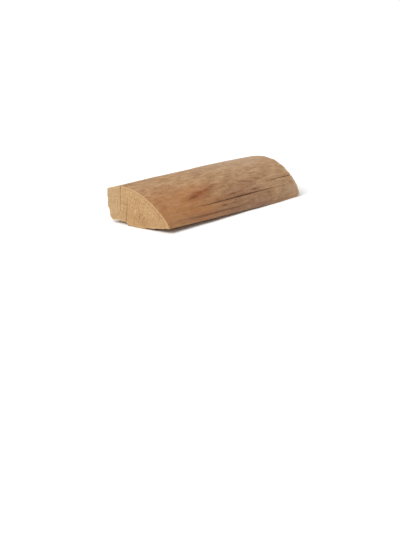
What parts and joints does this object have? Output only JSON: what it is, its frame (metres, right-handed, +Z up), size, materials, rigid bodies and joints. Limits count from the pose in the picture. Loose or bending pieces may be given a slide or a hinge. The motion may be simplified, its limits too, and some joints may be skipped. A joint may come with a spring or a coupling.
{
  "type": "firewood log",
  "caption": "Split firewood log: a slab off the side of a small trunk with a rounded, bark-free outer face, a torn flat underside, a radial split face and square sawn ends with drying checks.",
  "frame": {"origin": "centre of the bounding box in plan, on the surface that the log lies on", "axes": "+X along the grain towards the far sawn end, +Y from the thin toe edge towards the radial split face, +Z up"},
  "size_m": [0.25, 0.095, 0.0468],
  "materials": {
    "wood": "dry bare hardwood, sawn ends, torn split faces and a smooth bark-free outer face, matt"
  },
  "bodies": {
    "root": {"log": "wood"}
  },
  "joints": []
}
